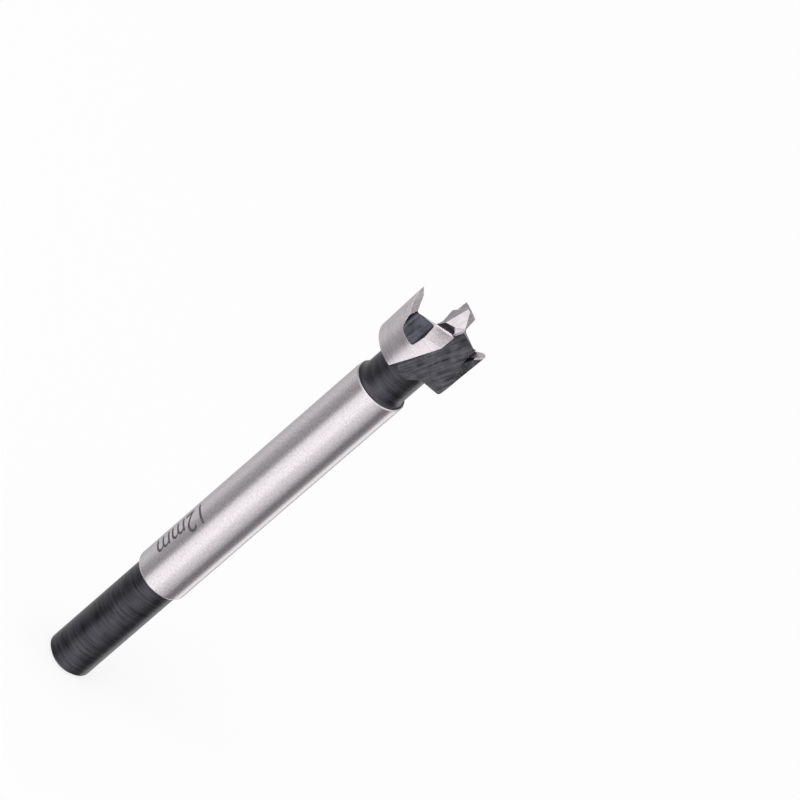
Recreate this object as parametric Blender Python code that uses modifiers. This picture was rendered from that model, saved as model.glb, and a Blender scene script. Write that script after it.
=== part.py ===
"""A 12 mm forstner bit: one piece of tool steel, standing on the end of its shank.

The axis is +Z, the origin is the centre of the shank's end, and lengths are metres.
The bit is turned as one blank. Everything on the head is then cut twice, half a turn
apart. The first cut of each pair belongs to the wing on the -Y side, whose lip runs
along -Y and moves toward +X when the bit turns.
"""
import math

import bmesh
import bpy
from mathutils import Matrix, Vector
from mathutils.geometry import intersect_plane_plane

# Shank and neck
TAIL_DIAMETER = 0.0069
TAIL_LENGTH = 0.0204
TAIL_CHAMFER = 0.0006
SHANK_DIAMETER = 0.0080
SHANK_LENGTH = 0.0466
SHANK_EDGE = 0.00015
SHOULDER_LENGTH = 0.0011
NECK_DIAMETER = 0.0069
NECK_LENGTH = 0.00647
NECK_FILLET = 0.0003

# Head blank
HEAD_DIAMETER = 0.0121
BACK_TAPER = 0.00035
HEAD_LENGTH = 0.00796
HEAD_CHAMFER = 0.00015
POST_DIAMETER = 0.0054

# Flutes, and how far everything on the head is ground off the turned axis
HEAD_OFFSET = 0.00025
LIP_AHEAD = 0.00137
RAKE_ANGLE = math.radians(19.8)
FLUTE_ANGLE = math.radians(29.5)
FLUTE_TURN = math.radians(17.0)
FLUTE_CORE = 0.00282
FLUTE_FILLET = 0.0009
SPUR_FACE_OUTSET = 0.00025
SPUR_CORNER_INSET = 0.00157
SPUR_CORNER_BACK = 0.00108
SPUR_CORNER_DEPTH = 0.00358
SPUR_WALL_TURN = math.radians(105.5)
SPUR_WALL_SLOPE = math.radians(99.1)

# Notches between spur and lifter
NOTCH_RISE = math.radians(34.0)
NOTCH_DEPTH = 0.0031
NOTCH_INNER = 0.0015
NOTCH_SPUR_WALL = 0.00185
NOTCH_FLOOR_TILT = math.radians(16.5)
NOTCH_INNER_DRAFT = math.radians(7.0)
NOTCH_OUTER_DRAFT = math.radians(23.0)
NOTCH_INNER_RADIUS = 0.0006
NOTCH_OUTER_RADIUS = 0.0005

# Ground faces of the lifters and spurs
LIP_RELIEF = math.radians(15.0)
FLANK_REACH = 0.0039
STEP_DISTANCE = 0.0016
STEP_FILLET = 0.00018
SPUR_HEIGHT = 0.00033
SPUR_BEVEL_SLOPE = math.radians(30.6)
SPUR_BEVEL_TURN = math.radians(64.3)
SPUR_BEVEL_LAP = 0.0003

# Centre point
POINT_HEIGHT = 0.00352
POINT_LEDGE = 0.00005
CHISEL_HALF_WIDTH = 0.00017
FRONT_TURN = math.radians(-12.6)
FRONT_SLOPE = math.radians(58.5)
SIDE_TURN = math.radians(-67.0)
SIDE_SLOPE = math.radians(67.0)
CORNER_TURN = math.radians(18.4)
CORNER_SLOPE = math.radians(72.0)
CORNER_DISTANCE = 0.00187

# Mesh fineness and margins
TURNING_STEPS = 96
ARC_STEPS = 5
TRIM = 0.0003
SHARP_ANGLE = math.radians(28.0)

# Levels and radii that follow from the sizes above
SHANK_Z = TAIL_LENGTH
COLLAR_Z = SHANK_Z + SHANK_LENGTH
HEAD_Z = COLLAR_Z + NECK_LENGTH
LIP_Z = HEAD_Z + HEAD_LENGTH
SPUR_Z = LIP_Z + SPUR_HEIGHT
POINT_Z = LIP_Z + POINT_HEIGHT
HEAD_RADIUS = HEAD_DIAMETER / 2
NOTCH_OUTER = HEAD_RADIUS - NOTCH_SPUR_WALL
MID_NOTCH = (NOTCH_INNER + NOTCH_OUTER) / 2
UP = Vector((0.0, 0.0, 1.0))
REACH = 2 * (HEAD_DIAMETER + HEAD_LENGTH)


def arc(centre, radii, start, end, steps=ARC_STEPS):
    """Points of an elliptic arc in the plane of radius and height, end points included."""
    angles = [start + (end - start) * step / steps for step in range(steps + 1)]
    return [(centre[0] + radii[0] * math.cos(a), centre[1] + radii[1] * math.sin(a)) for a in angles]


def blank_profile():
    """Half section of the blank, as (radius, height) from the top of the post to the shank end."""
    neck = NECK_DIAMETER / 2
    shank = SHANK_DIAMETER / 2
    tail = TAIL_DIAMETER / 2
    rear = HEAD_RADIUS - BACK_TAPER / 2
    post = POST_DIAMETER / 2
    quarter = math.pi / 2
    outline = [(0.0, POINT_Z + TRIM), (post, POINT_Z + TRIM), (post, SPUR_Z + TRIM)]
    outline += [(HEAD_RADIUS, SPUR_Z + TRIM), (HEAD_RADIUS, LIP_Z)]
    outline += [(rear, HEAD_Z + HEAD_CHAMFER), (rear - HEAD_CHAMFER, HEAD_Z)]
    fillet = (NECK_FILLET, NECK_FILLET)
    outline += arc((neck + NECK_FILLET, HEAD_Z - NECK_FILLET), fillet, quarter, 2 * quarter)
    shoulder = shank - SHANK_EDGE - neck
    outline += arc((neck + shoulder, COLLAR_Z + SHOULDER_LENGTH), (shoulder, SHOULDER_LENGTH),
                   2 * quarter, 3 * quarter)
    outline += [(shank, COLLAR_Z - SHANK_EDGE)]
    outline += arc((tail, SHANK_Z + shank - tail), (shank - tail, shank - tail), 0.0, -quarter)
    outline += [(tail, TAIL_CHAMFER), (tail - TAIL_CHAMFER, 0.0), (0.0, 0.0)]
    return outline


def turned(name, outline, collection):
    """A turned solid: the half section swept once round Z."""
    mesh = bpy.data.meshes.new(name)
    edges = [(index, index + 1) for index in range(len(outline) - 1)]
    mesh.from_pydata([(radius, 0.0, height) for radius, height in outline], edges, [])
    solid = bpy.data.objects.new(name, mesh)
    collection.objects.link(solid)
    screw = solid.modifiers.new("Turn", "SCREW")
    screw.steps = TURNING_STEPS
    screw.render_steps = TURNING_STEPS
    screw.use_merge_vertices = True
    screw.merge_threshold = 0.000001
    screw.use_normal_calculate = False
    return solid


def on_wing(half):
    """The move that brings a cutter of the first wing to wing number half."""
    return Matrix.Translation((HEAD_OFFSET, 0.0, 0.0)) @ Matrix.Rotation(math.pi * half, 4, "Z")


def facing(turn, slope):
    """Unit normal of a face that looks turn round from -Y toward +X and lies slope off level."""
    level = math.sin(slope)
    return Vector((level * math.sin(turn), -level * math.cos(turn), math.cos(slope)))


def between(first, second, radius, steps=ARC_STEPS):
    """Planes tangent to a round of this radius between two planes of a cutter."""
    inset = [point - normal * radius for point, normal in (first, second)]
    centre, _ = intersect_plane_plane(inset[0], first[1], inset[1], second[1])
    planes = []
    for step in range(1, steps + 1):
        normal = first[1].slerp(second[1], step / (steps + 1))
        planes.append((centre + normal * radius, normal))
    return planes


def wedge(name, planes, placing, collection):
    """A cutter bounded by flat faces: a block trimmed back to each (point, outward normal)."""
    shape = bmesh.new()
    bmesh.ops.create_cube(shape, size=2 * REACH, matrix=Matrix.Translation((0.0, 0.0, LIP_Z)))
    for point, normal in planes:
        whole = shape.verts[:] + shape.edges[:] + shape.faces[:]
        cut = bmesh.ops.bisect_plane(shape, geom=whole, plane_co=point, plane_no=normal, clear_outer=True)
        rim = [item for item in cut["geom_cut"] if isinstance(item, bmesh.types.BMEdge)]
        bmesh.ops.contextual_create(shape, geom=rim)
    bmesh.ops.recalc_face_normals(shape, faces=shape.faces[:])
    mesh = bpy.data.meshes.new(name)
    shape.to_mesh(mesh)
    shape.free()
    return cutter_object(name, mesh, placing, collection)


def prism(name, outline, placing, collection):
    """A cutter with a flat outline, extruded both ways along its own Z."""
    curve = bpy.data.curves.new(name, "CURVE")
    curve.dimensions = "2D"
    curve.fill_mode = "BOTH"
    curve.extrude = REACH
    spline = curve.splines.new("POLY")
    spline.points.add(len(outline) - 1)
    for point, (across, up) in zip(spline.points, outline):
        point.co = (across, up, 0.0, 1.0)
    spline.use_cyclic_u = True
    source = bpy.data.objects.new(name + "_outline", curve)
    collection.objects.link(source)
    evaluated = source.evaluated_get(bpy.context.evaluated_depsgraph_get())
    mesh = bpy.data.meshes.new_from_object(evaluated)
    bpy.data.objects.remove(source)
    shape = bmesh.new()
    shape.from_mesh(mesh)
    bmesh.ops.remove_doubles(shape, verts=shape.verts[:], dist=0.000001)
    bmesh.ops.recalc_face_normals(shape, faces=shape.faces[:])
    shape.to_mesh(mesh)
    shape.free()
    return cutter_object(name, mesh, placing, collection)


def cutter_object(name, mesh, placing, collection):
    """An object that is only used to cut."""
    cutter = bpy.data.objects.new(name, mesh)
    cutter.matrix_world = placing
    cutter.hide_render = True
    cutter.display_type = "WIRE"
    collection.objects.link(cutter)
    return cutter


def rounded(corners):
    """An outline of (x, y, radius) corners, with an arc at each corner that has a radius."""
    outline = []
    for index, (x, y, radius) in enumerate(corners):
        here = Vector((x, y))
        if radius == 0.0:
            outline.append((x, y))
            continue
        before = (Vector(corners[index - 1][:2]) - here).normalized()
        after = (Vector(corners[(index + 1) % len(corners)][:2]) - here).normalized()
        half = before.angle(after) / 2
        centre = here + (before + after).normalized() * radius / math.sin(half)
        start = (here + before * radius / math.tan(half) - centre).normalized()
        end = (here + after * radius / math.tan(half) - centre).normalized()
        for step in range(ARC_STEPS + 1):
            spoke = start.slerp(end, step / ARC_STEPS) * radius
            outline.append(tuple(centre + spoke))
    return outline


def flank_plane():
    """The ground top of a lifter, falling away behind its lip."""
    return Vector((LIP_AHEAD, 0.0, LIP_Z)), Vector((math.sin(LIP_RELIEF), 0.0, -math.cos(LIP_RELIEF)))


def across_plane(distance):
    """A side of a cutter that faces +X or -X."""
    return Vector((distance, 0.0, 0.0)), Vector((math.copysign(1.0, distance), 0.0, 0.0))


def flute_cutter(half, collection):
    """The flute ahead of one lip, down to its sloping floor, with the far spur left standing."""
    rake = (Vector((LIP_AHEAD, 0.0, LIP_Z)), Vector((-math.cos(RAKE_ANGLE), 0.0, math.sin(RAKE_ANGLE))))
    foot = facing(FLUTE_TURN, math.pi / 2) * FLUTE_CORE
    floor = (foot + UP * HEAD_Z, -facing(FLUTE_TURN, math.pi / 2 - FLUTE_ANGLE))
    planes = [rake, floor, *between(rake, floor, FLUTE_FILLET)]
    flute = wedge(f"flute_{half}", planes, on_wing(half), collection)
    edge = Vector((HEAD_RADIUS + SPUR_FACE_OUTSET, 0.0, 0.0))
    corner = Vector((HEAD_RADIUS - SPUR_CORNER_INSET, SPUR_CORNER_BACK, 0.0))
    face = (edge, UP.cross(corner - edge).normalized())
    wall = (corner + UP * (LIP_Z - SPUR_CORNER_DEPTH), -facing(SPUR_WALL_TURN, SPUR_WALL_SLOPE))
    cut(flute, [wedge(f"far_spur_{half}", [face, wall], on_wing(half), collection)])
    return flute


def notch_cutter(half, collection):
    """The round-cornered notch between a lifter and its spur, rising toward the centre."""
    rim_inner = math.sqrt(HEAD_RADIUS ** 2 - NOTCH_INNER ** 2)
    floor_inner = rim_inner * math.sin(NOTCH_RISE) - NOTCH_DEPTH * math.cos(NOTCH_RISE)
    floor_outer = floor_inner - (NOTCH_OUTER - NOTCH_INNER) * math.tan(NOTCH_FLOOR_TILT)
    top = floor_inner + NOTCH_DEPTH + POINT_HEIGHT
    corners = [
        (NOTCH_INNER, floor_inner, NOTCH_INNER_RADIUS),
        (NOTCH_OUTER, floor_outer, NOTCH_OUTER_RADIUS),
        (NOTCH_OUTER + (top - floor_outer) * math.tan(NOTCH_OUTER_DRAFT), top, 0.0),
        (NOTCH_INNER - (top - floor_inner) * math.tan(NOTCH_INNER_DRAFT), top, 0.0),
    ]
    across = Vector((-1.0, 0.0, 0.0))
    up = Vector((0.0, -math.sin(NOTCH_RISE), math.cos(NOTCH_RISE)))
    frame = Matrix((across, up, across.cross(up))).transposed().to_4x4()
    placing = on_wing(half) @ Matrix.Translation(UP * LIP_Z) @ frame
    return prism(f"notch_{half}", rounded(corners), placing, collection)


def lifter_cutter(half, collection):
    """The ground top of one lifter, from its lip back into the notch and in as far as the point."""
    flank = flank_plane()
    step = (Vector((0.0, -STEP_DISTANCE, 0.0)), Vector((0.0, 1.0, 0.0)))
    planes = [flank, step, *between(flank, step, STEP_FILLET)]
    planes += [across_plane(-FLANK_REACH), across_plane(MID_NOTCH)]
    return wedge(f"lifter_top_{half}", planes, on_wing(half), collection)


def spur_cutter(half, collection):
    """The bevel that leaves one spur highest at its trailing end, on the rim."""
    tip = Vector((-HEAD_RADIUS, 0.0, SPUR_Z))
    inner, inward = across_plane(NOTCH_OUTER - SPUR_BEVEL_LAP)
    planes = [(tip, -facing(SPUR_BEVEL_TURN, SPUR_BEVEL_SLOPE)), (-inner, inward)]
    return wedge(f"spur_bevel_{half}", planes, on_wing(half), collection)


def point_cutters(half, collection):
    """Two of the four slopes of the centre point, which meet at its chisel, and one cut-off corner."""
    tip = UP * POINT_Z
    side_edge = tip + facing(SIDE_TURN, math.pi / 2) * CHISEL_HALF_WIDTH
    corner = facing(CORNER_TURN, CORNER_SLOPE)
    slopes = {
        "front": (tip, -facing(FRONT_TURN, FRONT_SLOPE)),
        "side": (side_edge, -facing(SIDE_TURN, SIDE_SLOPE)),
        "corner": (UP * LIP_Z + corner * CORNER_DISTANCE, -corner),
    }
    width = POST_DIAMETER / 2 + TRIM
    sides = [across_plane(-width), across_plane(width)]
    place, down = flank_plane()
    back = (Vector((0.0, -STEP_DISTANCE - TRIM, 0.0)), Vector((0.0, -1.0, 0.0)))
    floors = {"front": [(UP * LIP_Z, -UP)], "side": [(place + UP * POINT_LEDGE, down), back],
              "corner": [(UP * LIP_Z, -UP)]}
    return [wedge(f"point_{label}_{half}", [slope, *sides, *floors[label]], on_wing(half), collection)
            for label, slope in slopes.items()]


def steel():
    """Dark oxide over most of the bit; the ground faces are bare steel."""
    material = bpy.data.materials.new("steel")
    material.use_nodes = True
    shader = material.node_tree.nodes["Principled BSDF"]
    shader.inputs["Base Color"].default_value = (0.30, 0.30, 0.31, 1.0)
    shader.inputs["Metallic"].default_value = 1.0
    shader.inputs["Roughness"].default_value = 0.38
    return material


def cut(solid, cutters):
    """Takes each cutter away from the solid, in turn."""
    for cutter in cutters:
        modifier = solid.modifiers.new(cutter.name, "BOOLEAN")
        modifier.operation = "DIFFERENCE"
        modifier.solver = "EXACT"
        modifier.object = cutter


def build():
    """Builds the bit in its own collection, with the cutters in another."""
    for item in list(bpy.data.objects):
        bpy.data.objects.remove(item)
    model = bpy.data.collections.new("forstner_bit")
    tools = bpy.data.collections.new("cutters")
    for collection in (model, tools):
        bpy.context.scene.collection.children.link(collection)
    bit = turned("forstner_bit", blank_profile(), model)
    bit.data.materials.append(steel())
    for half in (0, 1):
        cut(bit, [flute_cutter(half, tools), notch_cutter(half, tools)])
        cut(bit, [spur_cutter(half, tools), lifter_cutter(half, tools), *point_cutters(half, tools)])
    bit.data.shade_smooth()
    bit.data.set_sharp_from_angle(angle=SHARP_ANGLE)


build()
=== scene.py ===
"""The look of the 12 mm forstner bit: ground bright steel over black oxide, seen as in the photo.

The bit is built again here by the cuts that make its solid, with finer steps, the point and
spurs fitted closer to the photo, and a finish for each kind of surface. It stands for the
solid. Lengths are metres. A pair of values is for the first wing's cutters, then the second's.
"""
import math

import bmesh
import bpy
from mathutils import Matrix, Vector
from mathutils.geometry import intersect_plane_plane

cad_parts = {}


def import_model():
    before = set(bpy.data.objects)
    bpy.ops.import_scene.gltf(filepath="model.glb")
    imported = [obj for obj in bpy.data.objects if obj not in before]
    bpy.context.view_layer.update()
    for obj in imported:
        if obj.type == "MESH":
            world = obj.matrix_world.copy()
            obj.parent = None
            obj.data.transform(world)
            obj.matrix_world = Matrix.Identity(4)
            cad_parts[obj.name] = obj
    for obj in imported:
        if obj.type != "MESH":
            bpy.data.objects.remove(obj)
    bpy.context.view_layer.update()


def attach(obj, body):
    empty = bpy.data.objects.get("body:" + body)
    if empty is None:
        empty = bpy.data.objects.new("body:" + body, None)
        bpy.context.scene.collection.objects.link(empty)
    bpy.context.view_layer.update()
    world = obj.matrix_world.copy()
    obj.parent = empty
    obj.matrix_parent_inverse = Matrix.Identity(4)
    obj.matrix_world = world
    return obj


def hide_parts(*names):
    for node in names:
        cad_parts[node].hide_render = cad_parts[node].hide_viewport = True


# Shank and neck
TAIL_DIAMETER = 0.0069
TAIL_LENGTH = 0.0204
TAIL_CHAMFER = 0.0006
SHANK_DIAMETER = 0.0080
SHANK_LENGTH = 0.0466
SHANK_EDGE = 0.00015
SHOULDER_LENGTH = 0.0011
NECK_DIAMETER = 0.0069
NECK_LENGTH = 0.00647
NECK_FILLET = 0.0003

# Head blank
HEAD_DIAMETER = 0.0121
BACK_TAPER = 0.00035
HEAD_LENGTH = 0.00796
HEAD_CHAMFER = 0.00015
POST_DIAMETER = 0.0054

# Flutes, and how far everything on the head is ground off the turned axis
HEAD_OFFSET = 0.00025
LIP_AHEAD = 0.00124
RAKE_ANGLE = math.radians(19.8)
FLUTE_ANGLE = math.radians(29.5)
FLUTE_TURN = math.radians(17.0)
FLUTE_CORE = 0.00282
FLUTE_FILLET = 0.0009
SPUR_FACE_OUTSET = 0.00025
SPUR_CORNER_INSET = (0.00158, 0.00157)
SPUR_CORNER_BACK = (0.00103, 0.00108)
SPUR_CORNER_DEPTH = (0.00356, 0.00358)
SPUR_WALL_TURN = (math.radians(117.1), math.radians(113.3))
SPUR_WALL_SLOPE = (math.radians(100.7), math.radians(100.4))
SPUR_GROUND_PLACE = Vector((0.00476, 0.00149, -0.00107))
SPUR_GROUND_TURN = math.radians(121.4)
SPUR_GROUND_SLOPE = math.radians(106.2)

# Notches between spur and lifter
NOTCH_RISE = math.radians(34.0)
NOTCH_DEPTH = 0.0031
NOTCH_INNER = 0.0015
NOTCH_SPUR_WALL = 0.00185
NOTCH_FLOOR_TILT = math.radians(16.5)
NOTCH_INNER_DRAFT = math.radians(7.0)
NOTCH_OUTER_DRAFT = math.radians(23.0)
NOTCH_INNER_RADIUS = 0.0006
NOTCH_OUTER_RADIUS = 0.0005

# Ground faces of the lifters and spurs
LIP_RELIEF = math.radians(15.0)
FLANK_REACH = 0.0039
STEP_DISTANCE = 0.00195
STEP_TURN = math.radians(6.4)
RIDGE_DISTANCE = 0.0016
STEP_FILLET = 0.00022
SPUR_HEIGHT = (0.00033, 0.00059)
SPUR_BEVEL_SLOPE = (math.radians(30.6), math.radians(61.0))
SPUR_BEVEL_TURN = (math.radians(64.3), math.radians(89.0))
SPUR_BEVEL_LAP = (0.0003, -0.0001)

# Centre point
POINT_HEIGHT = 0.00325
POINT_SHIFT = Vector((-0.00016, 0.0, 0.0))
POINT_LEDGE = 0.00005
CHISEL_HALF_WIDTH = (0.00013, 0.00019)
FRONT_TURN = math.radians(-12.6)
FRONT_SLOPE = math.radians(49.8)
SIDE_TURN = (math.radians(-74.7), math.radians(-64.9))
SIDE_SLOPE = (math.radians(66.0), math.radians(67.3))
CORNER_TURN = (math.radians(18.7), math.radians(18.4))
CORNER_SLOPE = (math.radians(80.0), math.radians(72.0))
CORNER_DISTANCE = (0.00213, 0.00134)
GASH_PLACE = Vector((0.001514, -0.001503, 0.001297))
GASH_TURN = math.radians(55.0)
GASH_SLOPE = math.radians(101.3)

# Mesh fineness and margins
TURNING_STEPS = 224
ARC_STEPS = 10
TRIM = 0.0003
MERGE_DISTANCE = 0.000001
SEAM_DISTANCE = 0.000002
FLAT_ANGLE = math.radians(0.3)
SHARP_ANGLE = math.radians(28.0)
STEEP_NORMAL = 0.5
LEVEL_NORMAL = 0.7

# Size mark on the shank
MARK_TEXT = "12mm"
MARK_START = -0.0329
MARK_LENGTH = 0.0094
MARK_FOOT = math.radians(-69.0)
MARK_TOP = math.radians(-22.5)
MARK_PROUD = 0.000006
MARK_BANDS = 24
MARK_DARK = (0.07, 0.07, 0.075)
MARK_LIGHT = (0.16, 0.16, 0.165)
MARK_PATCHES = 4000.0
MARK_SPAN = (0.3, 0.7)
MARK_METALLIC = 0.5
MARK_ROUGHNESS = 0.6

# Colours of the finishes, from the darkest of their marks to the lightest
BLACK = ((0.026, 0.0254, 0.030), (0.092, 0.090, 0.104))
FLUTE = ((0.018, 0.0176, 0.021), (0.150, 0.146, 0.165))
NOTCH = ((0.055, 0.055, 0.067), (0.195, 0.195, 0.240))
BRIGHT = ((0.55, 0.515, 0.537), (0.79, 0.735, 0.768))
RIM = ((0.54, 0.50, 0.53), (0.74, 0.69, 0.72))
GROUND = ((0.52, 0.48, 0.51), (0.74, 0.69, 0.72))
# Painted shade: a darker copy of the ground steel, for the point's side slopes
PAINTED_SHADE_COLOURS = ((0.39, 0.36, 0.38), (0.56, 0.52, 0.54))
# Painted highlight: near white, for the round where each lifter's flank meets its step and the first far
# spur's face
HIGHLIGHT_WHITE = ((0.86, 0.82, 0.85), (1.0, 0.96, 0.99))

# Machining marks: how their noise is spread, and how bright and how wide the painted highlights along edges
# are
COLOUR_SPAN = (0.36, 0.64)
ROUGHNESS_SPAN = (0.35, 0.65)
FINE_DETAIL = 4.0
FINE_ROUGHNESS = 0.65
COARSE_DETAIL = 2.0
COARSE_ACROSS = 1 / 5
COARSE_ALONG = 1 / 3
PATCH_DETAIL = 3.0
BUMP_DISTANCE = 0.00001
EDGE_ROUND = 0.00009
EDGE_SAMPLES = 6
EDGE_BEND = (0.995, 0.90)
EDGE_HIGHLIGHT_COLOUR = (1.0, 0.98, 0.99, 1.0)
EDGE_ROUGHNESS = 0.85

# Light tent: strength seen in reflections, by degrees round from -Y toward +X, below and above level
TENT_STRENGTH = 1.4
TENT_LOW = [(-180, 0.55), (-131, 0.65), (-109, 0.77), (-91, 0.70), (-76, 0.51), (-50, 0.38), (-38, 0.50),
            (-27, 1.10), (-12, 1.28), (8, 1.36), (20, 1.29), (30, 1.05), (54, 0.78), (67, 0.56),
            (80, 0.26), (98, 0.24), (115, 0.45), (122, 1.15), (146, 1.15), (152, 0.5), (180, 0.5)]
TENT_HIGH = [(-180, 0.90), (-168, 1.25), (-145, 1.25), (-128, 0.60), (-118, 0.48), (-60, 0.80), (-40, 1.30),
             (20, 1.30), (60, 1.00), (120, 0.80), (132, 0.68), (148, 0.34), (172, 0.30)]
TENT_SEAM = (-0.3, 0.0)
SURROUND_LIGHT = 0.8

# Key light, from above and a little left of the view
KEY_TURN = math.radians(-40.0)
KEY_HEIGHT = math.radians(50.0)
KEY_DISTANCE = 0.9
KEY_SIZE = 0.7
KEY_POWER = 3.0

# Floor
FLOOR_REACH = 3.0
FLOOR_COLOUR = (0.93, 0.93, 0.93, 1.0)
FLOOR_GLOW = 0.8
WHITE = (1.0, 1.0, 1.0, 1.0)

# Camera: the photo's angle, its distance, and the collar's place in the picture
CAMERA_RISE = math.radians(33.4)
CAMERA_ROLL = math.radians(49.23)
CAMERA_DISTANCE = 0.89
CAMERA_LENS = 309.2
CAMERA_SENSOR = 36.0
CAMERA_CLIP = (0.05, 20.0)
PIXEL = CAMERA_DISTANCE / 6870
COLLAR_LEFT = 18.41 * PIXEL
COLLAR_OVER = 14.85 * PIXEL

# Levels and radii that follow from the sizes above
SHANK_Z = TAIL_LENGTH
COLLAR_Z = SHANK_Z + SHANK_LENGTH
HEAD_Z = COLLAR_Z + NECK_LENGTH
LIP_Z = HEAD_Z + HEAD_LENGTH
SPUR_Z = LIP_Z + max(SPUR_HEIGHT)
POINT_Z = LIP_Z + POINT_HEIGHT
HEAD_RADIUS = HEAD_DIAMETER / 2
NOTCH_OUTER = HEAD_RADIUS - NOTCH_SPUR_WALL
MID_NOTCH = (NOTCH_INNER + NOTCH_OUTER) / 2
UP = Vector((0.0, 0.0, 1.0))
REACH = 2 * (HEAD_DIAMETER + HEAD_LENGTH)

# Finishes, in the order of the material slots
(TURNED_OXIDE, TURNED_STEEL, RIM_STEEL, FLUTE_OXIDE, NOTCH_OXIDE, GROUND_STEEL, POINT_STEEL,
 PAINTED_HIGHLIGHT_STEEL, SATIN_STEEL, SPUR_OXIDE, PAINTED_SHADE_STEEL) = range(11)
FLUTE_STREAK = Vector((0.332, 0.553, 0.763))
NOTCH_STREAK = Vector((0.0, math.cos(NOTCH_RISE), math.sin(NOTCH_RISE)))
GRIND_STREAK = Vector((0.25, 1.0, 0.0))


def arc(centre, radii, start, end):
    """Points of an elliptic arc in the plane of radius and height, end points included."""
    angles = [start + (end - start) * step / ARC_STEPS for step in range(ARC_STEPS + 1)]
    return [(centre[0] + radii[0] * math.cos(a), centre[1] + radii[1] * math.sin(a)) for a in angles]


def blank_profile():
    """Half section of the blank, as (radius, height) from the top of the post to the shank end."""
    neck = NECK_DIAMETER / 2
    shank = SHANK_DIAMETER / 2
    tail = TAIL_DIAMETER / 2
    rear = HEAD_RADIUS - BACK_TAPER / 2
    post = POST_DIAMETER / 2
    quarter = math.pi / 2
    outline = [(0.0, POINT_Z + TRIM), (post, POINT_Z + TRIM), (post, SPUR_Z + TRIM)]
    outline += [(HEAD_RADIUS, SPUR_Z + TRIM), (HEAD_RADIUS, LIP_Z)]
    outline += [(rear, HEAD_Z + HEAD_CHAMFER), (rear - HEAD_CHAMFER, HEAD_Z)]
    fillet = (NECK_FILLET, NECK_FILLET)
    outline += arc((neck + NECK_FILLET, HEAD_Z - NECK_FILLET), fillet, quarter, 2 * quarter)
    shoulder = shank - SHANK_EDGE - neck
    outline += arc((neck + shoulder, COLLAR_Z + SHOULDER_LENGTH), (shoulder, SHOULDER_LENGTH),
                   2 * quarter, 3 * quarter)
    outline += [(shank, COLLAR_Z - SHANK_EDGE)]
    outline += arc((tail, SHANK_Z + shank - tail), (shank - tail, shank - tail), 0.0, -quarter)
    outline += [(tail, TAIL_CHAMFER), (tail - TAIL_CHAMFER, 0.0), (0.0, 0.0)]
    return outline


def turned(name, outline, finishes):
    """A turned solid: the half section swept once round Z, ground where it is cylindrical and wide."""
    mesh = bpy.data.meshes.new(name)
    edges = [(index, index + 1) for index in range(len(outline) - 1)]
    mesh.from_pydata([(radius, 0.0, height) for radius, height in outline], edges, [])
    source = link(bpy.data.objects.new(name + "_profile", mesh))
    screw = source.modifiers.new("Turn", "SCREW")
    screw.steps = TURNING_STEPS
    screw.render_steps = TURNING_STEPS
    screw.use_merge_vertices = True
    screw.merge_threshold = MERGE_DISTANCE
    screw.use_normal_calculate = False
    solid = applied(source, name, finishes)
    for face in solid.data.polygons:
        height = face.center.z
        on_shank = SHANK_Z + TRIM < height < COLLAR_Z
        on_rim = height > HEAD_Z + HEAD_CHAMFER and abs(face.normal.z) < STEEP_NORMAL
        face.material_index = TURNED_STEEL if on_shank else RIM_STEEL if on_rim else TURNED_OXIDE
    return solid


def link(item):
    """Puts an object in the scene."""
    bpy.context.scene.collection.objects.link(item)
    return item


def applied(source, name, finishes):
    """A new object from a shape as its modifiers leave it. The source is removed."""
    mesh = bpy.data.meshes.new_from_object(source.evaluated_get(bpy.context.evaluated_depsgraph_get()))
    bpy.data.objects.remove(source)
    mesh.name = name
    for finish in finishes[len(mesh.materials):]:
        mesh.materials.append(finish)
    return link(bpy.data.objects.new(name, mesh))


def on_wing(half):
    """The move that brings a cutter of the first wing to wing number half."""
    return Matrix.Translation((HEAD_OFFSET, 0.0, 0.0)) @ Matrix.Rotation(math.pi * half, 4, "Z")


def facing(turn, slope):
    """Unit normal of a face that looks turn round from -Y toward +X and lies slope off level."""
    level = math.sin(slope)
    return Vector((level * math.sin(turn), -level * math.cos(turn), math.cos(slope)))


def between(first, second, radius, finish):
    """Planes tangent to a round of this radius between two planes of a cutter."""
    inset = [point - normal * radius for point, normal, _ in (first, second)]
    centre, _ = intersect_plane_plane(inset[0], first[1], inset[1], second[1])
    planes = []
    for step in range(1, ARC_STEPS + 1):
        normal = first[1].slerp(second[1], step / (ARC_STEPS + 1))
        planes.append((centre + normal * radius, normal, finish))
    return planes


def wedge(name, planes, placing, finishes):
    """A cutter bounded by flat faces: a block trimmed back to each (point, outward normal, finish)."""
    shape = bmesh.new()
    bmesh.ops.create_cube(shape, size=2 * REACH, matrix=Matrix.Translation((0.0, 0.0, LIP_Z)))
    for point, normal, finish in planes:
        whole = shape.verts[:] + shape.edges[:] + shape.faces[:]
        trimmed = bmesh.ops.bisect_plane(shape, geom=whole, plane_co=point, plane_no=normal,
                                         clear_outer=True)
        rim = [item for item in trimmed["geom_cut"] if isinstance(item, bmesh.types.BMEdge)]
        for face in bmesh.ops.contextual_create(shape, geom=rim)["faces"]:
            face.material_index = finish
    return cutter_object(name, shape, placing, finishes)


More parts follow.
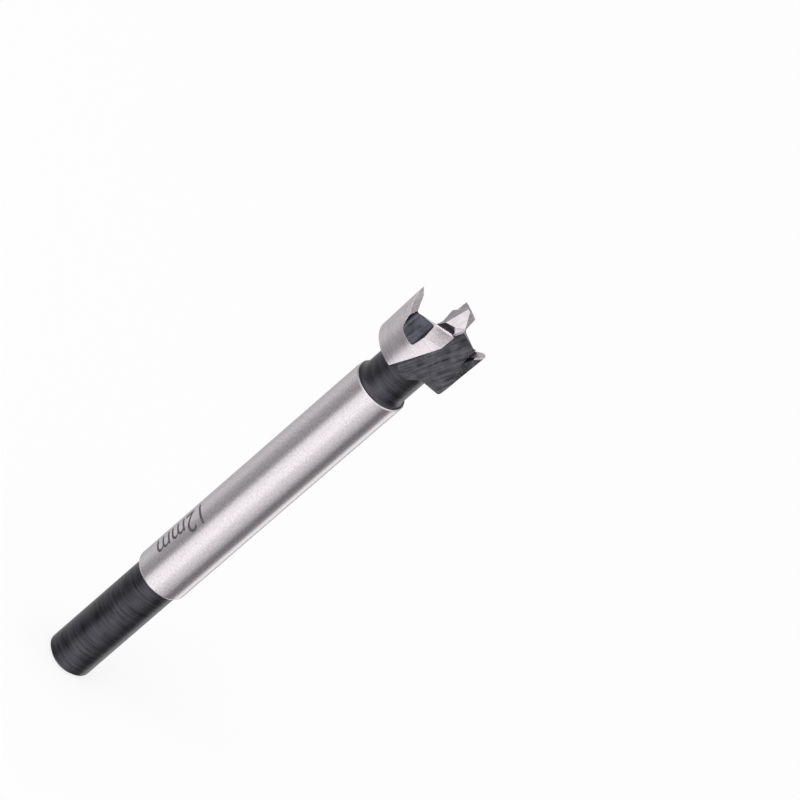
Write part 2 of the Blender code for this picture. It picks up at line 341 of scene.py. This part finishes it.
def prism(name, outline, placing, finish, finishes):
    """A cutter with a flat outline, extruded both ways along its own Z."""
    curve = bpy.data.curves.new(name, "CURVE")
    curve.dimensions = "2D"
    curve.fill_mode = "BOTH"
    curve.extrude = REACH
    spline = curve.splines.new("POLY")
    spline.points.add(len(outline) - 1)
    for point, (across, up) in zip(spline.points, outline):
        point.co = (across, up, 0.0, 1.0)
    spline.use_cyclic_u = True
    source = link(bpy.data.objects.new(name + "_outline", curve))
    mesh = bpy.data.meshes.new_from_object(source.evaluated_get(bpy.context.evaluated_depsgraph_get()))
    bpy.data.objects.remove(source)
    shape = bmesh.new()
    shape.from_mesh(mesh)
    bmesh.ops.remove_doubles(shape, verts=shape.verts[:], dist=MERGE_DISTANCE)
    for face in shape.faces:
        face.material_index = finish
    return cutter_object(name, shape, placing, finishes)


def cutter_object(name, shape, placing, finishes):
    """An object that is only used to cut, and is removed once it has."""
    bmesh.ops.recalc_face_normals(shape, faces=shape.faces[:])
    mesh = bpy.data.meshes.new(name)
    shape.to_mesh(mesh)
    shape.free()
    for finish in finishes:
        mesh.materials.append(finish)
    cutter = link(bpy.data.objects.new(name, mesh))
    cutter.matrix_world = placing
    return cutter


def rounded(corners):
    """An outline of (x, y, radius) corners, with an arc at each corner that has a radius."""
    outline = []
    for index, (x, y, radius) in enumerate(corners):
        here = Vector((x, y))
        if radius == 0.0:
            outline.append((x, y))
            continue
        before = (Vector(corners[index - 1][:2]) - here).normalized()
        after = (Vector(corners[(index + 1) % len(corners)][:2]) - here).normalized()
        half = before.angle(after) / 2
        centre = here + (before + after).normalized() * radius / math.sin(half)
        start = (here + before * radius / math.tan(half) - centre).normalized()
        end = (here + after * radius / math.tan(half) - centre).normalized()
        for step in range(ARC_STEPS + 1):
            spoke = start.slerp(end, step / ARC_STEPS) * radius
            outline.append(tuple(centre + spoke))
    return outline


def flank_plane(finish):
    """The ground top of a lifter, falling away behind its lip."""
    slope = Vector((math.sin(LIP_RELIEF), 0.0, -math.cos(LIP_RELIEF)))
    return Vector((LIP_AHEAD, 0.0, LIP_Z)), slope, finish


def across_plane(distance, finish):
    """A side of a cutter that faces +X or -X."""
    return Vector((distance, 0.0, 0.0)), Vector((math.copysign(1.0, distance), 0.0, 0.0)), finish


def flute_cutter(half, finishes):
    """The flute ahead of one lip, down to its sloping floor, with the spur beyond it left standing.

    The spur beyond the first wing's flute has a ground face too, which only shows from the front, painted as
    a pale highlight.
    """
    rake_normal = Vector((-math.cos(RAKE_ANGLE), 0.0, math.sin(RAKE_ANGLE)))
    rake = (Vector((LIP_AHEAD, 0.0, LIP_Z)), rake_normal, FLUTE_OXIDE)
    foot = facing(FLUTE_TURN, math.pi / 2) * FLUTE_CORE
    floor = (foot + UP * HEAD_Z, -facing(FLUTE_TURN, math.pi / 2 - FLUTE_ANGLE), FLUTE_OXIDE)
    planes = [rake, floor, *between(rake, floor, FLUTE_FILLET, FLUTE_OXIDE)]
    flute = wedge(f"flute_{half}", planes, on_wing(half), finishes)
    edge = Vector((HEAD_RADIUS + SPUR_FACE_OUTSET, 0.0, 0.0))
    corner = Vector((HEAD_RADIUS - SPUR_CORNER_INSET[half], SPUR_CORNER_BACK[half], 0.0))
    face = (edge, UP.cross(corner - edge).normalized(), SPUR_OXIDE)
    wall_place = corner + UP * (LIP_Z - SPUR_CORNER_DEPTH[half])
    wall = (wall_place, -facing(SPUR_WALL_TURN[half], SPUR_WALL_SLOPE[half]), FLUTE_OXIDE)
    planes = [face, wall]
    # The first far spur's ground face is painted as a pale highlight
    if half == 0:
        ground = -facing(SPUR_GROUND_TURN, SPUR_GROUND_SLOPE)
        planes.append((UP * LIP_Z + SPUR_GROUND_PLACE, ground, PAINTED_HIGHLIGHT_STEEL))
    return cut(flute, [wedge(f"far_spur_{half}", planes, on_wing(half), finishes)], finishes)


def notch_cutter(half, finishes):
    """The round-cornered notch between a lifter and its spur, rising toward the centre."""
    rim_inner = math.sqrt(HEAD_RADIUS ** 2 - NOTCH_INNER ** 2)
    floor_inner = rim_inner * math.sin(NOTCH_RISE) - NOTCH_DEPTH * math.cos(NOTCH_RISE)
    floor_outer = floor_inner - (NOTCH_OUTER - NOTCH_INNER) * math.tan(NOTCH_FLOOR_TILT)
    top = floor_inner + NOTCH_DEPTH + POINT_HEIGHT
    corners = [
        (NOTCH_INNER, floor_inner, NOTCH_INNER_RADIUS),
        (NOTCH_OUTER, floor_outer, NOTCH_OUTER_RADIUS),
        (NOTCH_OUTER + (top - floor_outer) * math.tan(NOTCH_OUTER_DRAFT), top, 0.0),
        (NOTCH_INNER - (top - floor_inner) * math.tan(NOTCH_INNER_DRAFT), top, 0.0),
    ]
    across = Vector((-1.0, 0.0, 0.0))
    up = Vector((0.0, -math.sin(NOTCH_RISE), math.cos(NOTCH_RISE)))
    frame = Matrix((across, up, across.cross(up))).transposed().to_4x4()
    placing = on_wing(half) @ Matrix.Translation(UP * LIP_Z) @ frame
    return prism(f"notch_{half}", rounded(corners), placing, NOTCH_OXIDE, finishes)


def lifter_cutters(half, finishes):
    """The ground top of one lifter, as far in as the point, and of the ridge behind it."""
    ground = (SATIN_STEEL, GROUND_STEEL)[half]
    flank = flank_plane(ground)
    step = (Vector((0.0, -STEP_DISTANCE, 0.0)), -facing(STEP_TURN, math.pi / 2), TURNED_OXIDE)
    # The round between flank and step is painted as a pale highlight line
    planes = [flank, step, *between(flank, step, STEP_FILLET, PAINTED_HIGHLIGHT_STEEL)]
    planes += [across_plane(-FLANK_REACH, NOTCH_OXIDE), across_plane(MID_NOTCH, NOTCH_OXIDE)]
    beside = (Vector((-NOTCH_INNER, 0.0, 0.0)), Vector((1.0, 0.0, 0.0)), NOTCH_OXIDE)
    inner = (Vector((0.0, -RIDGE_DISTANCE, 0.0)), Vector((0.0, 1.0, 0.0)), NOTCH_OXIDE)
    ridge = [flank, inner, across_plane(-FLANK_REACH, NOTCH_OXIDE), beside]
    return [wedge(f"lifter_top_{half}", planes, on_wing(half), finishes),
            wedge(f"lifter_ridge_{half}", ridge, on_wing(half), finishes)]


def spur_cutter(half, finishes):
    """The bevel that leaves one spur highest at its trailing end, on the rim."""
    tip = Vector((-HEAD_RADIUS, 0.0, LIP_Z + SPUR_HEIGHT[half]))
    inner, inward, _ = across_plane(NOTCH_OUTER - SPUR_BEVEL_LAP[half], NOTCH_OXIDE)
    bevel = (tip, -facing(SPUR_BEVEL_TURN[half], SPUR_BEVEL_SLOPE[half]), GROUND_STEEL)
    planes = [bevel, (-inner, inward, NOTCH_OXIDE)]
    return wedge(f"spur_bevel_{half}", planes, on_wing(half), finishes)


def point_cutters(half, finishes):
    """Two of the four slopes of the centre point, which meet at its chisel, and one cut-off corner.

    A gash that clears the near lip is ground beside the first wing's corner.
    """
    tip = UP * POINT_Z
    side_edge = tip + facing(SIDE_TURN[half], math.pi / 2) * CHISEL_HALF_WIDTH[half]
    corner = facing(CORNER_TURN[half], CORNER_SLOPE[half])
    slopes = {
        "front": (tip, -facing(FRONT_TURN, FRONT_SLOPE), POINT_STEEL),
        # The side slopes get the ground steel darkened: painted shade
        "side": (side_edge, -facing(SIDE_TURN[half], SIDE_SLOPE[half]), PAINTED_SHADE_STEEL),
        "corner": (UP * LIP_Z + corner * CORNER_DISTANCE[half], -corner, POINT_STEEL),
    }
    if half == 0:
        slopes["gash"] = (UP * LIP_Z + GASH_PLACE, -facing(GASH_TURN, GASH_SLOPE), SATIN_STEEL)
    width = POST_DIAMETER / 2 + TRIM
    sides = [across_plane(-width, NOTCH_OXIDE), across_plane(width, NOTCH_OXIDE)]
    place, down, _ = flank_plane(NOTCH_OXIDE)
    ledge = (place + UP * POINT_LEDGE, down, NOTCH_OXIDE)
    back = (Vector((0.0, -STEP_DISTANCE - TRIM, 0.0)), Vector((0.0, -1.0, 0.0)), NOTCH_OXIDE)
    level = (UP * LIP_Z, -UP, NOTCH_OXIDE)
    floors = {"front": [level], "side": [ledge, back], "corner": [level], "gash": [level]}
    placing = Matrix.Translation(POINT_SHIFT) @ on_wing(half)
    return [wedge(f"point_{label}_{half}", [slope, *sides, *floors[label]], placing, finishes)
            for label, slope in slopes.items()]


def cut(solid, cutters, finishes):
    """The solid with each cutter taken away from it in turn."""
    for cutter in cutters:
        modifier = solid.modifiers.new(cutter.name, "BOOLEAN")
        modifier.operation = "DIFFERENCE"
        modifier.solver = "EXACT"
        modifier.object = cutter
    placing = solid.matrix_world.copy()
    result = applied(solid, solid.name + "_cut", finishes)
    result.matrix_world = placing
    for cutter in cutters:
        bpy.data.objects.remove(cutter)
    return result


def streaked(mesh):
    """Gives every face UVs in metres: across its machining marks, then along them."""
    layer = mesh.uv_layers.new(name="marks")
    for face in mesh.polygons:
        finish = face.material_index
        normal = face.normal
        round_face = finish in (TURNED_OXIDE, TURNED_STEEL, RIM_STEEL)
        if not round_face:
            streak = {FLUTE_OXIDE: FLUTE_STREAK, NOTCH_OXIDE: NOTCH_STREAK}.get(finish, GRIND_STREAK)
            if finish == FLUTE_OXIDE and normal.y > 0:
                streak = Vector((-streak.x, -streak.y, streak.z))
            along = (streak - normal * streak.dot(normal)).normalized()
            across = normal.cross(along)
        for corner in face.loop_indices:
            place = mesh.vertices[mesh.loops[corner].vertex_index].co
            if round_face:
                turn = math.atan2(place.x, -place.y)
                radius = math.hypot(place.x, place.y)
                level = abs(normal.z) > LEVEL_NORMAL
                layer.data[corner].uv = (radius if level else place.z, turn * SHANK_DIAMETER / 2)
            else:
                layer.data[corner].uv = (place.dot(across), place.dot(along))


def smooth(mesh):
    """Smooth shading that stops at real edges."""
    mesh.shade_smooth()
    mesh.set_sharp_from_angle(angle=SHARP_ANGLE)


def bit_mesh(finishes):
    """The whole bit, cut from its blank."""
    bit = turned("forstner_bit", blank_profile(), finishes)
    for half in (0, 1):
        cutters = [flute_cutter(half, finishes), notch_cutter(half, finishes), spur_cutter(half, finishes)]
        cutters += [*lifter_cutters(half, finishes), *point_cutters(half, finishes)]
        bit = cut(bit, cutters, finishes)
    bit.name = "forstner_bit_look"
    shape = bmesh.new()
    shape.from_mesh(bit.data)
    bmesh.ops.remove_doubles(shape, verts=shape.verts[:], dist=SEAM_DISTANCE)
    bmesh.ops.dissolve_limit(shape, angle_limit=FLAT_ANGLE, verts=shape.verts[:], edges=shape.edges[:],
                             delimit={"MATERIAL"})
    shape.to_mesh(bit.data)
    shape.free()
    streaked(bit.data)
    smooth(bit.data)
    weights = bit.modifiers.new("Flat faces stay flat", "WEIGHTED_NORMAL")
    weights.keep_sharp = True
    return bit


def size_mark(finish):
    """The size of the bit, etched along the shank: plain characters laid round it."""
    curve = bpy.data.curves.new("size_mark", "FONT")
    curve.body = MARK_TEXT
    source = link(bpy.data.objects.new("size_mark_text", curve))
    mark = applied(source, "size_mark", [finish])
    shape = bmesh.new()
    shape.from_mesh(mark.data)
    low = [min(vert.co[axis] for vert in shape.verts) for axis in (0, 1)]
    high = [max(vert.co[axis] for vert in shape.verts) for axis in (0, 1)]
    for band in range(1, MARK_BANDS):
        level = low[1] + (high[1] - low[1]) * band / MARK_BANDS
        whole = shape.verts[:] + shape.edges[:] + shape.faces[:]
        bmesh.ops.bisect_plane(shape, geom=whole, plane_co=(0.0, level, 0.0), plane_no=(0.0, 1.0, 0.0))
    radius = SHANK_DIAMETER / 2 + MARK_PROUD
    for vert in shape.verts:
        along = (vert.co.x - low[0]) / (high[0] - low[0])
        up = (vert.co.y - low[1]) / (high[1] - low[1])
        turn = MARK_FOOT + (MARK_TOP - MARK_FOOT) * up
        height = COLLAR_Z + MARK_START - MARK_LENGTH * along
        vert.co = (radius * math.sin(turn), -radius * math.cos(turn), height)
    bmesh.ops.recalc_face_normals(shape, faces=shape.faces[:])
    shape.to_mesh(mark.data)
    shape.free()
    return mark


def new_material(name):
    """An empty node material, and its tree."""
    material = bpy.data.materials.new(name)
    material.use_nodes = True
    material.node_tree.nodes.clear()
    return material, material.node_tree


def node(tree, kind, inputs=None, **settings):
    """Adds a node, sets its properties and its inputs by name or number, and returns it."""
    made = tree.nodes.new(kind)
    for key, value in settings.items():
        setattr(made, key, value)
    for key, value in (inputs or {}).items():
        if isinstance(value, bpy.types.NodeSocket):
            tree.links.new(value, made.inputs[key])
        else:
            made.inputs[key].default_value = value
    return made


def ramp(tree, factor, stops):
    """A colour ramp over a factor, from (position, grey or colour) stops."""
    made = node(tree, "ShaderNodeValToRGB", {"Fac": factor})
    elements = made.color_ramp.elements
    stops = list(stops)
    while len(elements) < len(stops):
        elements.new(0.5)
    for element, (position, colour) in zip(elements, stops):
        element.position = position
        element.color = (*colour, 1.0) if isinstance(colour, tuple) else (colour, colour, colour, 1.0)
    return made.outputs["Color"]


def blend(tree, factor, first, second):
    """A mix of two colours."""
    mixed = node(tree, "ShaderNodeMix", {"Factor": factor}, data_type="RGBA")
    for socket, value in zip([item for item in mixed.inputs if item.type == "RGBA"], (first, second)):
        if isinstance(value, bpy.types.NodeSocket):
            tree.links.new(value, socket)
        else:
            socket.default_value = value
    return next(item for item in mixed.outputs if item.type == "RGBA")


def marks_noise(tree, marks, scale, detail, **settings):
    """Noise over the machining marks, with its own scale across and along them."""
    lines = node(tree, "ShaderNodeMapping", {"Vector": marks, "Scale": (*scale, 1.0)}).outputs[0]
    inputs = {"Vector": lines, "Scale": 1.0, "Detail": detail, **settings}
    return node(tree, "ShaderNodeTexNoise", inputs, noise_dimensions="2D").outputs["Fac"]


def edge_highlight_mask(tree):
    """How much an edge is near, from 0 to 1, as the mask of a highlight painted along it, and the shading
    normal that rounds it.
    """
    face = node(tree, "ShaderNodeNewGeometry").outputs["Normal"]
    bent = node(tree, "ShaderNodeBevel", {"Radius": EDGE_ROUND}, samples=EDGE_SAMPLES).outputs[0]
    alike = node(tree, "ShaderNodeVectorMath", {0: face, 1: bent}, operation="DOT_PRODUCT").outputs["Value"]
    span = {"Value": alike, "From Min": EDGE_BEND[0], "From Max": EDGE_BEND[1]}
    return node(tree, "ShaderNodeMapRange", span).outputs[0], bent


def metal(name, colours, roughness, spread, scale, stretch, bump, patches, edge_highlights=False, metallic=1.0):
    """Steel with machining marks, which vary across and little along, and perhaps painted highlights along
    its edges.
    """
    material, tree = new_material(name)
    marks = node(tree, "ShaderNodeUVMap", uv_map="marks").outputs["UV"]
    fine = marks_noise(tree, marks, (scale, scale / stretch), FINE_DETAIL, Roughness=FINE_ROUGHNESS)
    coarse_scale = (scale * COARSE_ACROSS, scale / stretch * COARSE_ALONG)
    coarse = marks_noise(tree, marks, coarse_scale, COARSE_DETAIL)
    place = node(tree, "ShaderNodeTexCoord").outputs["Object"]
    cloud_inputs = {"Vector": place, "Scale": patches, "Detail": PATCH_DETAIL}
    cloud = node(tree, "ShaderNodeTexNoise", cloud_inputs).outputs["Fac"]
    mixed = node(tree, "ShaderNodeMath", {0: fine, 1: coarse}, operation="ADD").outputs[0]
    total = node(tree, "ShaderNodeMath", {0: mixed, 1: cloud}, operation="ADD").outputs[0]
    third = node(tree, "ShaderNodeMath", {0: total, 1: 1 / 3}, operation="MULTIPLY").outputs[0]
    colour = ramp(tree, third, zip(COLOUR_SPAN, colours))
    rough = node(tree, "ShaderNodeMapRange", {
        "Value": third, "From Min": ROUGHNESS_SPAN[0], "From Max": ROUGHNESS_SPAN[1],
        "To Min": roughness - spread, "To Max": roughness + spread}).outputs[0]
    height = node(tree, "ShaderNodeBump", {"Height": mixed, "Strength": bump, "Distance": BUMP_DISTANCE})
    if edge_highlights:
        edge, bent = edge_highlight_mask(tree)
        # Painted highlight: a near-white, rough colour laid along the edges, which also get a rounded
        # shading normal
        colour = blend(tree, edge, colour, EDGE_HIGHLIGHT_COLOUR)
        rough = node(tree, "ShaderNodeMapRange", {
            "Value": edge, "To Min": rough, "To Max": EDGE_ROUGHNESS}).outputs[0]
        tree.links.new(bent, height.inputs["Normal"])
    shader = node(tree, "ShaderNodeBsdfPrincipled", {
        "Base Color": colour, "Metallic": metallic, "Roughness": rough, "Normal": height.outputs[0]})
    node(tree, "ShaderNodeOutputMaterial", {"Surface": shader.outputs[0]})
    return material


def all_finishes():
    """The finishes of the bit, in the order of its material slots."""
    return [
        metal("turned_oxide", BLACK, roughness=0.30, spread=0.06, scale=12000.0, stretch=30.0,
              bump=0.8, patches=400.0),
        metal("turned_steel", BRIGHT, roughness=0.21, spread=0.03, scale=20000.0, stretch=3.0,
              bump=0.07, patches=4000.0),
        metal("rim_steel", RIM, roughness=0.21, spread=0.05, scale=16000.0, stretch=14.0,
              bump=0.3, patches=3500.0, edge_highlights=True),
        metal("flute_oxide", FLUTE, roughness=0.42, spread=0.08, scale=14000.0, stretch=30.0,
              bump=1.0, patches=900.0),
        metal("notch_oxide", NOTCH, roughness=0.44, spread=0.08, scale=9000.0, stretch=14.0,
              bump=0.8, patches=900.0),
        metal("ground_steel", GROUND, roughness=0.46, spread=0.06, scale=16000.0, stretch=40.0,
              bump=0.35, patches=1500.0, edge_highlights=True),
        metal("point_steel", GROUND, roughness=0.24, spread=0.05, scale=16000.0, stretch=40.0,
              bump=0.25, patches=1500.0, edge_highlights=True),
        # Painted highlight: near white and rough, so it stays bright from any side
        metal("painted_highlight_steel", HIGHLIGHT_WHITE, roughness=0.85, spread=0.05, scale=16000.0, stretch=40.0,
              bump=0.3, patches=1500.0),
        metal("satin_steel", GROUND, roughness=0.50, spread=0.06, scale=14000.0, stretch=20.0,
              bump=0.35, patches=1500.0, edge_highlights=True, metallic=0.4),
        metal("spur_oxide", FLUTE, roughness=0.50, spread=0.08, scale=9000.0, stretch=9.0,
              bump=1.0, patches=1200.0, metallic=0.3),
        # Painted shade: the ground steel made darker for the point's side slopes
        metal("painted_shade_steel", PAINTED_SHADE_COLOURS, roughness=0.46, spread=0.06, scale=16000.0, stretch=40.0,
              bump=0.35, patches=1500.0, edge_highlights=True),
    ]


def mark_finish():
    """The etched mark: dull dark grey, a little uneven."""
    material, tree = new_material("etched_mark")
    place = node(tree, "ShaderNodeTexCoord").outputs["Object"]
    cloud_inputs = {"Vector": place, "Scale": MARK_PATCHES, "Detail": PATCH_DETAIL}
    cloud = node(tree, "ShaderNodeTexNoise", cloud_inputs).outputs["Fac"]
    colour = ramp(tree, cloud, zip(MARK_SPAN, (MARK_DARK, MARK_LIGHT)))
    shader = node(tree, "ShaderNodeBsdfPrincipled", {
        "Base Color": colour, "Metallic": MARK_METALLIC, "Roughness": MARK_ROUGHNESS})
    node(tree, "ShaderNodeOutputMaterial", {"Surface": shader.outputs[0]})
    return material


def add_camera():
    """The photo's view: from the -Y side and above, rolled so that the bit runs up to the right."""
    across = Vector((1.0, 0.0, 0.0))
    toward = Vector((0.0, -math.cos(CAMERA_RISE), math.sin(CAMERA_RISE)))
    axis_up = Vector((0.0, math.sin(CAMERA_RISE), math.cos(CAMERA_RISE)))
    right = across * math.cos(CAMERA_ROLL) + axis_up * math.sin(CAMERA_ROLL)
    up = axis_up * math.cos(CAMERA_ROLL) - across * math.sin(CAMERA_ROLL)
    target = UP * COLLAR_Z + right * COLLAR_LEFT - up * COLLAR_OVER
    camera = bpy.data.cameras.new("camera")
    camera.lens = CAMERA_LENS
    camera.sensor_width = CAMERA_SENSOR
    camera.clip_start, camera.clip_end = CAMERA_CLIP
    holder = link(bpy.data.objects.new("camera", camera))
    place = Matrix((right, up, toward)).transposed().to_4x4()
    place.translation = target + toward * CAMERA_DISTANCE
    holder.matrix_world = place
    bpy.context.scene.camera = holder


def add_key_light():
    """A soft box over the bit, which casts its shadow but shows in no reflection."""
    lamp = bpy.data.lights.new("key", "AREA")
    lamp.size = KEY_SIZE
    lamp.energy = KEY_POWER
    holder = link(bpy.data.objects.new("key", lamp))
    away = facing(KEY_TURN, math.pi / 2 - KEY_HEIGHT)
    holder.location = UP * HEAD_Z + away * KEY_DISTANCE
    holder.rotation_mode = "QUATERNION"
    holder.rotation_quaternion = away.to_track_quat("Z", "Y")
    holder.visible_glossy = False


def white_where_seen(tree, shader, strength):
    """Adds white light of its own to a surface for camera and glossy rays, so the background is white."""
    path = node(tree, "ShaderNodeLightPath")
    seen = node(tree, "ShaderNodeMath", {0: path.outputs["Is Camera Ray"], 1: path.outputs["Is Glossy Ray"]},
                operation="MAXIMUM").outputs[0]
    share = node(tree, "ShaderNodeMath", {0: seen, 1: strength}, operation="MULTIPLY").outputs[0]
    glow = node(tree, "ShaderNodeEmission", {"Color": WHITE, "Strength": 1.0})
    return node(tree, "ShaderNodeMixShader", {0: share, 1: shader, 2: glow.outputs[0]}).outputs[0]


def add_floor():
    """A wide pale floor that the bit stands on."""
    mesh = bpy.data.meshes.new("floor")
    far = FLOOR_REACH
    mesh.from_pydata([(-far, -far, 0.0), (far, -far, 0.0), (far, far, 0.0), (-far, far, 0.0)],
                     [], [(0, 1, 2, 3)])
    floor = link(bpy.data.objects.new("floor", mesh))
    material, tree = new_material("floor")
    matte = node(tree, "ShaderNodeBsdfDiffuse", {"Color": FLOOR_COLOUR})
    surface = white_where_seen(tree, matte.outputs[0], FLOOR_GLOW)
    node(tree, "ShaderNodeOutputMaterial", {"Surface": surface})
    mesh.materials.append(material)
    floor.visible_glossy = False


def add_world():
    """A white surround that reflects as a light tent with brighter and darker sides."""
    world = bpy.data.worlds.new("surround")
    bpy.context.scene.world = world
    world.use_nodes = True
    tree = world.node_tree
    tree.nodes.clear()
    direction = node(tree, "ShaderNodeTexCoord").outputs["Generated"]
    toward = node(tree, "ShaderNodeSeparateXYZ", {0: direction})
    front = node(tree, "ShaderNodeMath", {0: toward.outputs["Y"], 1: -1.0}, operation="MULTIPLY").outputs[0]
    turn = node(tree, "ShaderNodeMath", {0: toward.outputs["X"], 1: front}, operation="ARCTAN2").outputs[0]
    share = node(tree, "ShaderNodeMapRange", {"Value": turn, "From Min": -math.pi, "From Max": math.pi})
    sides = []
    for tent in (TENT_LOW, TENT_HIGH):
        stops = [((angle + 180) / 360, strength / TENT_STRENGTH) for angle, strength in tent]
        sides.append(ramp(tree, share.outputs[0], stops))
    seam = {"Value": toward.outputs["Z"], "From Min": TENT_SEAM[0], "From Max": TENT_SEAM[1]}
    rise = node(tree, "ShaderNodeMapRange", seam, interpolation_type="SMOOTHSTEP")
    reflected = blend(tree, rise.outputs[0], *sides)
    path = node(tree, "ShaderNodeLightPath")
    seen = path.outputs["Is Camera Ray"]
    level = node(tree, "ShaderNodeMapRange", {"Value": seen, "To Min": SURROUND_LIGHT})
    plain = node(tree, "ShaderNodeBackground", {"Color": WHITE, "Strength": level.outputs[0]})
    shown = node(tree, "ShaderNodeBackground", {"Color": reflected, "Strength": TENT_STRENGTH})
    mixed = node(tree, "ShaderNodeMixShader", {
        0: path.outputs["Is Glossy Ray"], 1: plain.outputs[0], 2: shown.outputs[0]})
    node(tree, "ShaderNodeOutputWorld", {"Surface": mixed.outputs[0]})


def main():
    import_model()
    bit = bit_mesh(all_finishes())
    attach(bit, "root")
    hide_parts("forstner_bit")
    mark = size_mark(mark_finish())
    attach(mark, "root")
    add_floor()
    add_world()
    add_camera()
    add_key_light()
    bpy.context.scene.view_settings.view_transform = "Standard"


main()
